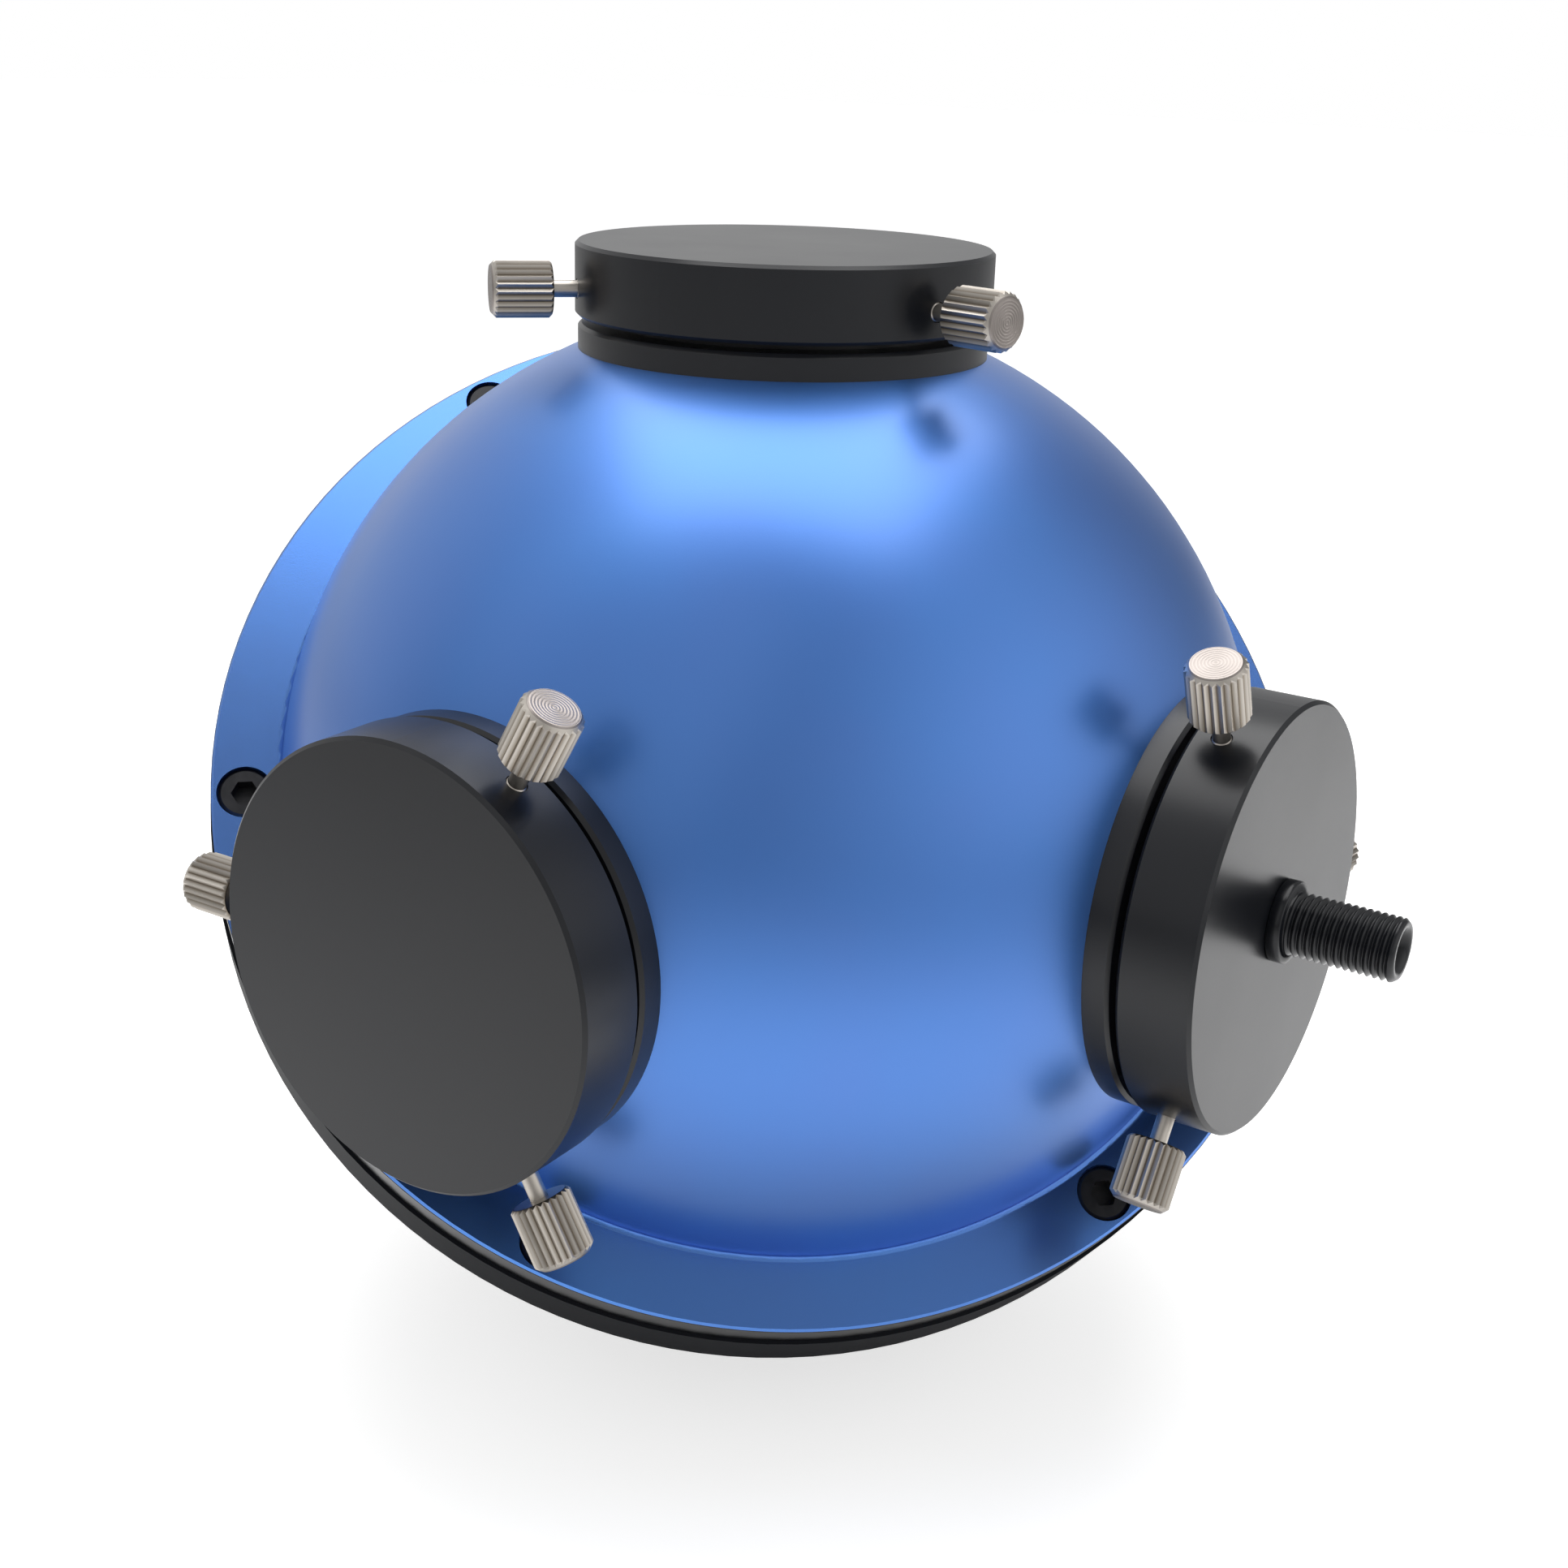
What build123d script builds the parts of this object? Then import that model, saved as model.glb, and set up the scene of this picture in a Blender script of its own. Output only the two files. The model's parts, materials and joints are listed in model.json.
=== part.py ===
from build123d import *
import os
from math import asin, cos, pi, sin, sqrt

# Integrating sphere: two bolted hemispheres, three capped ports at right angles, a fibre adapter
# on one cap and a baffle inside. Millimetres, +Z up. The origin is the mouth of the post hole
# under the sphere, +X points out of the right port, -Y out of the left one, +Z out of the top one.

# Shell
shell_outer_radius = 53.0
shell_wall = 5.0

# Flange between the hemispheres
flange_overhang = 7.0
front_flange_thickness = 4.5
rear_flange_thickness = 8.0
rear_flange_step = 0.35
flange_edge_chamfer = 0.3
flange_root_fillet = 0.6
lip_width = 2.4
lip_height = 1.5
lip_side_clearance = 0.05
lip_end_clearance = 0.1

# Flange screws and dowel pins
flange_screw_count = 6
flange_screw_first_angle = 30.0
flange_screw_radius = 1.5
flange_screw_length = 8.0
flange_head_radius = 2.75
flange_head_height = 3.0
flange_head_sink = 3.2
flange_head_side_clearance = 0.15
flange_socket_width = 2.5
flange_socket_depth = 1.5
dowel_count = 2
dowel_radius = 1.5
dowel_length = 9.0
dowel_end_chamfer = 0.25
dowel_end_clearance = 0.3

# Post mount on a flat under the sphere
post_mount_radius = 9.0
post_mount_drop = 5.0
post_mount_chamfer = 0.6
post_hole_radius = 2.5
post_hole_depth = 6.0
post_flat_depth = 1.5
post_stub_radius = 4.0
post_seat_floor = 1.2
post_stub_end_clearance = 0.1

# Collar of each port
port_radius = 12.7
collar_radius = 21.2
collar_base_thickness = 2.6
spigot_height = 6.0
collar_chamfer = 0.35
land_margin = 0.3

# Collar screws
collar_screw_count = 3
collar_screw_wall = 0.75
collar_screw_radius = 1.0
collar_screw_length = 8.2
collar_head_radius = 1.9
collar_head_height = 1.6
collar_head_sink = 0.4
collar_head_side_clearance = 0.15
collar_socket_width = 1.5
collar_socket_depth = 0.8
collar_hole_end_clearance = 0.2

# Caps
cap_overhang = 0.3
cap_roof = 2.2
cap_gap = 0.8
cap_chamfer = 0.35
cap_fit_clearance = 0.05

# Port plugs
plug_fit_clearance = 0.05
plug_stub_radius = 9.0
plug_stub_height = 0.8
light_hole_radius = 2.0

# Thumbscrews
thumbscrew_count = 3
thumbscrew_height = 2.8
thumbscrew_thread_radius = 1.0
thumbscrew_neck_radius = 0.85
thumbscrew_neck_length = 2.6
thumbscrew_tip_gap = 0.3
thumbscrew_head_radius = 2.9
thumbscrew_head_length = 6.1
thumbscrew_end_chamfer = 0.55
thumbscrew_base_chamfer = 0.3
knurl_count = 24
knurl_depth = 0.28

# Fibre adapter and its nut
adapter_thread_radius = 3.175
adapter_length = 12.0
adapter_flange_radius = 4.1
adapter_flange_thickness = 1.4
adapter_shank_radius = 3.0
adapter_bore_radius = 1.6
adapter_end_chamfer = 0.4
nut_width = 8.0
nut_thickness = 2.0
nut_pocket_clearance = 0.4
shank_past_nut = 0.1

# Baffle
baffle_width = 20.0
baffle_height = 12.0
baffle_thickness = 1.6
baffle_wall_gap = 4.0
baffle_corner_radius = 3.0
baffle_stem_radius = 1.25
baffle_seat_depth = 3.4

# Clearances shared by every screw, pin and hole of one kind
thread_clearance = 0.02
screw_hole_clearance = 0.1
shank_hole_clearance = 0.03

# How far a cut runs past the face it starts from, and the edge of a screw head as a share of its height
cut_past = 1.0
screw_edge_share = 0.1

# Sizes that follow from those above
shell_inner_radius = shell_outer_radius - shell_wall
flange_radius = shell_outer_radius + flange_overhang
rear_flange_radius = flange_radius + rear_flange_step
flange_screw_circle_radius = shell_outer_radius + flange_overhang / 2
baffle_centre_radius = shell_inner_radius - baffle_wall_gap - baffle_height / 2
centre_height = shell_outer_radius + post_mount_drop
post_flat_height = shell_outer_radius - post_flat_depth
post_seat_end = shell_inner_radius + post_seat_floor
post_stub_end = post_seat_end + post_stub_end_clearance
land_height = sqrt(shell_outer_radius**2 - collar_radius**2)
shoulder_height = land_height + collar_base_thickness
spigot_top = shoulder_height + spigot_height
collar_screw_circle_radius = port_radius + collar_screw_wall + collar_head_radius
spigot_radius = collar_screw_circle_radius + collar_head_radius + collar_screw_wall
cap_radius = collar_radius + cap_overhang
cap_bottom = shoulder_height + cap_gap
cap_face = spigot_top + cap_roof
stub_top = spigot_top + plug_stub_height
collar_head_top = spigot_top - collar_head_sink
thumbscrew_axis_height = cap_bottom + thumbscrew_height
head_seat = front_flange_thickness - flange_head_sink
port_cut_start = shell_inner_radius / 2

# Port frames: Z out of the port, thumbscrew angles counted from X
PORTS = {
    "top": Plane(origin=(0, 0, 0), x_dir=(0, -1, 0), z_dir=(0, 0, 1)),
    "left": Plane(origin=(0, 0, 0), x_dir=(0, 0, 1), z_dir=(0, -1, 0)),
    "right": Plane(origin=(0, 0, 0), x_dir=(0, 0, 1), z_dir=(1, 0, 0)),
}
THUMBSCREW_ANGLES = {"top": 317.0, "left": -29.0, "right": 23.0}
COLLAR_SCREW_OFFSET = 60.0

# Flange frame: its normal leans 45 degrees from the top port and 60 from the other two
FLANGE = Plane(origin=(0, 0, 0), x_dir=(-1, 1, sqrt(2)), z_dir=(1, -1, sqrt(2)))
BAFFLE = Plane(origin=(0, 0, 0), x_dir=(0, 1, 0), z_dir=(1, 0, 1))

UPWARD = (Align.CENTER, Align.CENTER, Align.MIN)


def rod(radius, bottom, top):
    """Round bar along Z from one height to another."""
    return Pos(0, 0, bottom) * Cylinder(radius, top - bottom, align=UPWARD)


def turned(*corners):
    """Solid turned about Z from the (radius, height) corners of its half section."""
    outline = Polyline(*[(radius, 0, height) for radius, height in corners], close=True)
    return revolve(make_face(outline), Axis.Z)


def hexagon(width, bottom, top):
    """Hexagonal bar along Z, its width measured across the flats."""
    section = RegularPolygon(width / 2, 6, major_radius=False)
    return Pos(0, 0, bottom) * extrude(section, top - bottom)


def around(radius, count, first_angle=0.0):
    """Places spaced evenly on a circle about Z."""
    return [Rot(0, 0, first_angle + 360 * i / count) * Pos(radius, 0, 0) for i in range(count)]


def group(pieces):
    """One shape that holds several solids that lie apart."""
    return Compound([piece.solid() for piece in pieces])


def circle_edges(shape, radius, height):
    """Circular edges about Z of one radius at one height."""
    close = 0.01
    rings = shape.edges().filter_by(GeomType.CIRCLE)
    return [
        e for e in rings
        if abs(e.radius - radius) < close and abs(e.arc_center.Z - height) < close
        and abs(e.arc_center.X) < close and abs(e.arc_center.Y) < close
    ]


# Screws, drawn point down with the underside of the head at height zero
def socket_screw(radius, length, head_radius, head_height, socket_width, socket_depth):
    """Cap screw with a hexagonal socket."""
    edge = head_height * screw_edge_share
    body = turned(
        (0, -length), (radius - edge, -length), (radius, edge - length), (radius, 0),
        (head_radius, 0), (head_radius, head_height - edge), (head_radius - edge, head_height),
        (0, head_height),
    )
    return body - hexagon(socket_width, head_height - socket_depth, head_height)


# Hemispheres, drawn with the joint face at height zero and the dome above it
def round_wall(radius, start_height, end_height):
    """Arc of a sphere's half section between two heights."""
    angles = [asin(start_height / radius), asin(end_height / radius)]
    angles.insert(1, sum(angles) / 2)
    return ThreePointArc(*[(radius * cos(a), 0, radius * sin(a)) for a in angles])


def root_arc(flange_thickness):
    """Fillet of the half section, from the flange's face up to the dome."""
    centre_up = flange_thickness + flange_root_fillet
    reach = shell_outer_radius + flange_root_fillet
    centre = Vector(sqrt(reach**2 - centre_up**2), 0, centre_up)
    down = Vector(0, 0, -1)
    inward = -centre.normalized()
    turns = [down, (down + inward).normalized(), inward]
    return ThreePointArc(*[centre + turn * flange_root_fillet for turn in turns])


def hemisphere_blank(rim_radius, flange_thickness, step_radius, step_height):
    """Half shell and its flange. The step beside the inner edge is a rebate, or a lip if below zero."""
    root = root_arc(flange_thickness)
    inner = round_wall(shell_inner_radius, shell_inner_radius, step_height)
    outer = round_wall(shell_outer_radius, (root @ 1).Z, shell_outer_radius)
    flange = Polyline(
        inner @ 1, (step_radius, 0, step_height), (step_radius, 0, 0), (rim_radius, 0, 0),
        (rim_radius, 0, flange_thickness - flange_edge_chamfer),
        (rim_radius - flange_edge_chamfer, 0, flange_thickness), root @ 0,
    )
    axis_line = Line(outer @ 1, inner @ 0)
    return revolve(make_face(inner + flange + root + outer + axis_line), Axis.Z)


def port_cuts():
    """Land, port hole and screw threads of every port."""
    cuts = []
    hole_bottom = collar_head_top - collar_head_height - collar_screw_length - collar_hole_end_clearance
    for name, frame in PORTS.items():
        place = frame.location
        cuts.append(place * rod(collar_radius + land_margin, land_height, cap_face))
        cuts.append(place * rod(port_radius, port_cut_start, cap_face))
        first = THUMBSCREW_ANGLES[name] + COLLAR_SCREW_OFFSET
        for spot in around(collar_screw_circle_radius, collar_screw_count, first):
            thread = rod(collar_screw_radius + thread_clearance, hole_bottom, cap_face)
            cuts.append(place * spot * thread)
    return cuts


def dowel_hole(depth):
    return rod(dowel_radius + thread_clearance, -cut_past, depth)


def make_front_hemisphere():
    """Front half: counterbored flange, rebate for the lip, three port seats, baffle seat."""
    rebate_radius = shell_inner_radius + lip_width
    rebate_depth = lip_height + lip_end_clearance
    front = hemisphere_blank(flange_radius, front_flange_thickness, rebate_radius, rebate_depth)
    for spot in around(flange_screw_circle_radius, flange_screw_count, flange_screw_first_angle):
        front -= spot * rod(flange_screw_radius + screw_hole_clearance, -cut_past, head_seat + cut_past)
        sink_radius = flange_head_radius + flange_head_side_clearance
        front -= spot * rod(sink_radius, head_seat, front_flange_thickness + cut_past)
    for spot in around(flange_screw_circle_radius, dowel_count):
        front -= spot * dowel_hole(dowel_half() + dowel_end_clearance)
    front = FLANGE.location * front
    for cut in port_cuts():
        front -= cut
    seat_end = shell_inner_radius + baffle_seat_depth + thread_clearance
    front -= BAFFLE.location * rod(baffle_stem_radius + thread_clearance, baffle_centre_radius, seat_end)
    return front


def dowel_half():
    """Length of the dowel that stands in the front flange."""
    return front_flange_thickness - 2 * dowel_end_clearance


def make_rear_hemisphere():
    """Rear half: threaded flange, centring lip, and the flat and seat of the post mount."""
    lip_radius = shell_inner_radius + lip_width - lip_side_clearance
    rear = hemisphere_blank(rear_flange_radius, rear_flange_thickness, lip_radius, -lip_height)
    for spot in around(flange_screw_circle_radius, flange_screw_count, -flange_screw_first_angle):
        thread = rod(flange_screw_radius + thread_clearance, -cut_past, rear_flange_thickness + cut_past)
        rear -= spot * thread
    for spot in around(flange_screw_circle_radius, dowel_count):
        rear -= spot * dowel_hole(dowel_length - dowel_half() + dowel_end_clearance)
    rear = FLANGE.location * Rot(180, 0, 0) * rear
    rear -= rod(shell_outer_radius, -centre_height, -post_flat_height)
    return rear - rod(post_stub_radius + thread_clearance, -centre_height, -post_seat_end)


def make_post_mount():
    """Disc that screws into the rear half by its stub and takes the post from below."""
    disc = rod(post_mount_radius, -centre_height, -post_flat_height)
    mount = chamfer(circle_edges(disc, post_mount_radius, -centre_height), post_mount_chamfer)
    mount += rod(post_stub_radius, -post_flat_height, -post_stub_end)
    return mount - rod(post_hole_radius, -centre_height - cut_past, post_hole_depth - centre_height)


def make_flange_screws():
    screw = socket_screw(
        flange_screw_radius, flange_screw_length, flange_head_radius, flange_head_height,
        flange_socket_width, flange_socket_depth,
    )
    spots = around(flange_screw_circle_radius, flange_screw_count, flange_screw_first_angle)
    return group(FLANGE.location * spot * Pos(0, 0, head_seat) * screw for spot in spots)


def make_dowel_pins():
    edge = dowel_end_chamfer
    top = dowel_half()
    bottom = top - dowel_length
    pin = turned(
        (0, bottom), (dowel_radius - edge, bottom), (dowel_radius, bottom + edge),
        (dowel_radius, top - edge), (dowel_radius - edge, top), (0, top),
    )
    spots = around(flange_screw_circle_radius, dowel_count)
    return group(FLANGE.location * spot * pin for spot in spots)


# Pieces of a port, drawn with the sphere's centre at zero and the port along Z
def make_collar(first_angle):
    """Ring screwed to the land, with the spigot that the cap fits over."""
    edge = collar_chamfer
    ring = turned(
        (port_radius, land_height), (collar_radius, land_height),
        (collar_radius, shoulder_height - edge), (collar_radius - edge, shoulder_height),
        (spigot_radius, shoulder_height), (spigot_radius, spigot_top - edge),
        (spigot_radius - edge, spigot_top), (port_radius, spigot_top),
    )
    seat = collar_head_top - collar_head_height
    sink_radius = collar_head_radius + collar_head_side_clearance
    for spot in around(collar_screw_circle_radius, collar_screw_count, first_angle):
        hole_radius = collar_screw_radius + screw_hole_clearance
        ring -= spot * rod(hole_radius, land_height - cut_past, seat + cut_past)
        ring -= spot * rod(sink_radius, seat, spigot_top + cut_past)
    return ring


def make_collar_screws(first_angle):
    screw = socket_screw(
        collar_screw_radius, collar_screw_length, collar_head_radius, collar_head_height,
        collar_socket_width, collar_socket_depth,
    )
    seat = Pos(0, 0, collar_head_top - collar_head_height)
    spots = around(collar_screw_circle_radius, collar_screw_count, first_angle)
    return group(spot * seat * screw for spot in spots)


def make_cap(first_angle, adapter_hole):
    """Flat cup over the spigot, with a recess for the plug and three threads in its side."""
    edge = cap_chamfer
    bore = spigot_radius + cap_fit_clearance
    recess = plug_stub_radius + plug_fit_clearance
    cup = turned(
        (0, stub_top), (recess, stub_top), (recess, spigot_top), (bore, spigot_top),
        (bore, cap_bottom), (cap_radius - edge, cap_bottom), (cap_radius, cap_bottom + edge),
        (cap_radius, cap_face - edge), (cap_radius - edge, cap_face), (0, cap_face),
    )
    for angle in thumbscrew_angles(first_angle):
        thread = rod(thumbscrew_thread_radius + thread_clearance, spigot_radius, cap_radius + cut_past)
        cup -= thumbscrew_place(angle) * thread
    if adapter_hole:
        cup -= rod(adapter_shank_radius + shank_hole_clearance, spigot_top, cap_face + cut_past)
    return cup


def make_plug(light_hole):
    """White plug that fills the port and ends in the curve of the sphere's inside."""
    radius = port_radius - plug_fit_clearance
    plug = rod(radius, port_cut_start, spigot_top) - Sphere(shell_inner_radius)
    plug += rod(plug_stub_radius, spigot_top - cap_roof, stub_top)
    if light_hole:
        pocket = nut_width / sqrt(3) + nut_pocket_clearance
        plug -= rod(pocket, stub_top - nut_thickness - nut_pocket_clearance, stub_top)
        plug -= rod(light_hole_radius, 0, stub_top)
    return plug


def thumbscrew_angles(first_angle):
    return [first_angle + 360 * i / thumbscrew_count for i in range(thumbscrew_count)]


def thumbscrew_place(angle):
    """Frame of a thumbscrew: Z points out along its own axis, zero on the port axis."""
    return Rot(0, 0, angle) * Pos(0, 0, thumbscrew_axis_height) * Rot(0, 90, 0)


def knurled_bar(radius, depth, count, bottom, top):
    """Bar with straight V teeth along it."""
    teeth = []
    for i in range(2 * count):
        reach = radius - depth * (i % 2)
        teeth.append((reach * cos(pi * i / count), reach * sin(pi * i / count)))
    return Pos(0, 0, bottom) * extrude(make_face(Polyline(*teeth, close=True)), top - bottom)


def make_thumbscrew():
    """Thumbscrew along Z: thread in the cap's wall, thin neck, knurled head."""
    tip = spigot_radius + thumbscrew_tip_gap
    head_start = cap_radius + thumbscrew_neck_length
    head_end = head_start + thumbscrew_head_length
    step = thumbscrew_thread_radius - thumbscrew_neck_radius
    shank = turned(
        (0, tip), (thumbscrew_neck_radius, tip), (thumbscrew_thread_radius, tip + step),
        (thumbscrew_thread_radius, cap_radius - step), (thumbscrew_neck_radius, cap_radius),
        (thumbscrew_neck_radius, head_start + step), (0, head_start + step),
    )
    base = thumbscrew_base_chamfer
    end = thumbscrew_end_chamfer
    envelope = turned(
        (0, head_start), (thumbscrew_head_radius - base, head_start),
        (thumbscrew_head_radius, head_start + base), (thumbscrew_head_radius, head_end - end),
        (thumbscrew_head_radius - end, head_end), (0, head_end),
    )
    head = envelope & knurled_bar(
        thumbscrew_head_radius, knurl_depth, knurl_count, head_start, head_end
    )
    return head + shank


# Fibre adapter, along the right port's axis
def make_fibre_adapter():
    edge = adapter_end_chamfer
    end = cap_face + adapter_length
    flange_top = cap_face + adapter_flange_thickness
    shank_end = stub_top - nut_thickness - shank_past_nut
    return turned(
        (adapter_bore_radius, shank_end), (adapter_shank_radius, shank_end),
        (adapter_shank_radius, cap_face), (adapter_flange_radius, cap_face),
        (adapter_flange_radius, flange_top), (adapter_thread_radius, flange_top),
        (adapter_thread_radius, end - edge), (adapter_thread_radius - edge, end),
        (adapter_bore_radius, end),
    )


def make_adapter_nut():
    nut = hexagon(nut_width, stub_top - nut_thickness, stub_top)
    return nut - rod(adapter_shank_radius + thread_clearance, stub_top - nut_thickness, stub_top)


# Baffle between the right and the top port, drawn along Z from the sphere's centre
def make_baffle_plate():
    """Rounded plate that stops light going straight from one port to the other."""
    plate = RectangleRounded(baffle_width, baffle_height, baffle_corner_radius)
    sheet = extrude(plate, baffle_thickness / 2, both=True)
    sheet = Pos(0, 0, baffle_centre_radius) * Rot(90, 0, 0) * sheet
    return sheet - rod(baffle_stem_radius + thread_clearance, baffle_centre_radius,
                       baffle_centre_radius + baffle_height)


def make_baffle_stem():
    """Stud from the plate's edge to its seat in the wall."""
    return rod(baffle_stem_radius, baffle_centre_radius, shell_inner_radius + baffle_seat_depth)


def build():
    """Every node of the model, by name, in the frame whose zero is the sphere's centre."""
    nodes = {
        "front_hemisphere": make_front_hemisphere(),
        "rear_hemisphere": make_rear_hemisphere(),
        "post_mount": make_post_mount(),
        "flange_screws": make_flange_screws(),
        "dowel_pins": make_dowel_pins(),
        "baffle_plate": BAFFLE.location * make_baffle_plate(),
        "baffle_stem": BAFFLE.location * make_baffle_stem(),
    }
    for name, frame in PORTS.items():
        place = frame.location
        first = THUMBSCREW_ANGLES[name]
        between = first + COLLAR_SCREW_OFFSET
        has_adapter = name == "right"
        nodes[f"{name}_collar"] = place * make_collar(between)
        nodes[f"{name}_collar_screws"] = place * make_collar_screws(between)
        nodes[f"{name}_cap"] = place * make_cap(first, has_adapter)
        nodes[f"{name}_plug"] = place * make_plug(has_adapter)
        for number, angle in enumerate(thumbscrew_angles(first), start=1):
            nodes[f"{name}_thumbscrew_{number}"] = place * thumbscrew_place(angle) * make_thumbscrew()
    nodes["fibre_adapter"] = PORTS["right"].location * make_fibre_adapter()
    nodes["adapter_nut"] = PORTS["right"].location * make_adapter_nut()
    return nodes


os.makedirs("parts", exist_ok=True)
for node_name, shape in build().items():
    export_step(Pos(0, 0, centre_height) * shape, f"parts/{node_name}.step")
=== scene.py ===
"""Integrating sphere: finishes of its metal and white parts, the adapter's thread, and a studio."""
import json
import math

import bmesh
import bpy
from bpy.props import FloatProperty, FloatVectorProperty, PointerProperty
from mathutils import Matrix, Vector


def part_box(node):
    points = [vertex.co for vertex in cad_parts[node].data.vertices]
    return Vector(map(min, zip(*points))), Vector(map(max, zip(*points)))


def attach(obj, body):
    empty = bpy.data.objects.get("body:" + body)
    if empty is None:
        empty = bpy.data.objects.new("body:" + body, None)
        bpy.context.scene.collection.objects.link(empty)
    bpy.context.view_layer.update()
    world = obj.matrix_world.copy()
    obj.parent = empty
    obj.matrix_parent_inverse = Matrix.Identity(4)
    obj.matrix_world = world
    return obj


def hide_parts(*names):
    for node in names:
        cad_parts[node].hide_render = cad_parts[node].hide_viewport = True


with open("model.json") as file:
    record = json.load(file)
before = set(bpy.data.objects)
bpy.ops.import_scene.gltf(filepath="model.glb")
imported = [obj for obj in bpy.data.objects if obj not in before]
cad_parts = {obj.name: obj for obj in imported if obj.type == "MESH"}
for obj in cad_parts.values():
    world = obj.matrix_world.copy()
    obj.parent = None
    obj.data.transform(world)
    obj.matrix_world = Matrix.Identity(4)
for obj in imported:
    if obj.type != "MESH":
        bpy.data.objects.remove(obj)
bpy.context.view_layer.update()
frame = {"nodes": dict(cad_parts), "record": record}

bl_info = {
    "name": "Integrating Sphere",
    "version": (1, 0, 0),
    "blender": (4, 5, 0),
    "location": "3D View > Sidebar > Integrating Sphere",
    "description": "Dresses the integrating sphere and lights it in a small studio",
    "category": "Object",
}

MM = 0.001
PORT_AXES = {"top": Vector((0, 0, 1)), "left": Vector((0, -1, 0)), "right": Vector((1, 0, 0))}
PORTS = tuple(PORT_AXES)
SCREWS_PER_CAP = 3

# Places read from the frame
top_low, top_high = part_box("top_cap")
right_low, right_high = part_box("right_cap")
CENTRE = Vector((
    (top_low.x + top_high.x) / 2,
    (top_low.y + top_high.y) / 2,
    (right_low.z + right_high.z) / 2,
))
FLANGE_NORMAL = Vector((1, -1, math.sqrt(2))).normalized()
MOUNTS = {mount["name"]: mount for mount in frame["record"]["mounts"]}

# Sizes of the shell that its finishes change at, and how far past them a change lies
INNER_RADIUS = 48.0 * MM
OUTER_RADIUS = 53.0 * MM
FRONT_FLANGE = 4.5 * MM
FLANGE_RADIUS = 60.0 * MM
FLANGE_CHAMFER = 0.3 * MM
WHITE_MARGIN = 0.25 * MM
DOME_MARGIN = 0.35 * MM
DOME_BAND = 0.06 * MM
FLANGE_MARGIN = 0.1 * MM
RIM_MARGIN = FLANGE_CHAMFER / 4

# Sizes of the thumbscrews that their finish changes at, the end's place measured from the port's axis
HEAD_RADIUS = 2.9 * MM
HEAD_END = 30.2 * MM
END_CHAMFER = 0.55 * MM
KNURL_DEPTH = 0.28 * MM
KNURL_TOP = HEAD_RADIUS - KNURL_DEPTH * 0.3
KNURL_FOOT = HEAD_RADIUS - KNURL_DEPTH
KNURL_INSIDE = HEAD_RADIUS - KNURL_DEPTH * 1.5

# Rings that turning left on the thumbscrews' ends
RING_PITCH = 0.3 * MM
RING_RELIEF = 0.008 * MM
RING_ROUGHNESS = 0.06

# Sizes of the fibre adapter that its mounts don't give
SHANK_RADIUS = 3.0 * MM
SHANK_CHAMFER = 0.1 * MM
FOOT_HEIGHT = 1.4 * MM
FOOT_LOWER_CHAMFER = 0.12 * MM
FOOT_UPPER_CHAMFER = 0.15 * MM
LIP_WIDTH = 0.45 * MM
MOUTH_STEP = 0.25 * MM
MOUTH_DEPTH = 0.5 * MM
BORE_DEPTH = 1.2 * MM

# Rings of the adapter's mesh: how many to each turn of the thread, over how many the thread deepens at
# the foot and fades at the end, the share of its depth left there, and the points of each ring
RINGS_PER_TURN = 12
RINGS_RISING = 10
RINGS_FALLING = 8
END_SHARE = 0.3
RING_POINTS = 72


class SphereFinishes(bpy.types.PropertyGroup):
    """Colours and finishes of the sphere's parts."""

    blue: FloatVectorProperty(
        name="Blue", description="Colour of the anodised front half",
        subtype="COLOR", size=4, min=0, max=1, default=(0.062, 0.222, 0.66, 1),
    )
    # Painted shade: the blue flange's outer rim is painted near-black for the shade it lies in
    rim: FloatVectorProperty(
        name="Rim", description="Colour of the front flange's outer rim",
        subtype="COLOR", size=4, min=0, max=1, default=(0.006, 0.008, 0.014, 1),
    )
    blue_roughness: FloatProperty(
        name="Blue Roughness", description="Roughness of the blasted blue dome",
        subtype="FACTOR", min=0, max=1, default=0.40,
    )
    flange_roughness: FloatProperty(
        name="Flange Roughness", description="Roughness of the turned blue flange",
        subtype="FACTOR", min=0, max=1, default=0.24,
    )
    black: FloatVectorProperty(
        name="Black", description="Colour of the black anodised parts",
        subtype="COLOR", size=4, min=0, max=1, default=(0.0075, 0.0085, 0.0115, 1),
    )
    black_roughness: FloatProperty(
        name="Black Roughness", description="Roughness of the collars and caps",
        subtype="FACTOR", min=0, max=1, default=0.30,
    )
    nickel: FloatVectorProperty(
        name="Nickel", description="Colour of the thumbscrews",
        subtype="COLOR", size=4, min=0, max=1, default=(0.56, 0.52, 0.47, 1),
    )
    nickel_roughness: FloatProperty(
        name="Nickel Roughness", description="Roughness of the thumbscrews",
        subtype="FACTOR", min=0, max=1, default=0.33,
    )
    white: FloatVectorProperty(
        name="White", description="Colour of the coat and plugs inside",
        subtype="COLOR", size=4, min=0, max=1, default=(0.88, 0.88, 0.86, 1),
    )


class AdapterSizes(bpy.types.PropertyGroup):
    """Thread of the fibre adapter."""

    thread_pitch: FloatProperty(
        name="Thread Pitch", description="Distance from one crest of the adapter's thread to the next",
        unit="LENGTH", default=25.4 / 36 * MM,
    )
    thread_depth: FloatProperty(
        name="Thread Depth", description="Depth of the adapter's thread",
        unit="LENGTH", default=0.38 * MM,
    )


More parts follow.
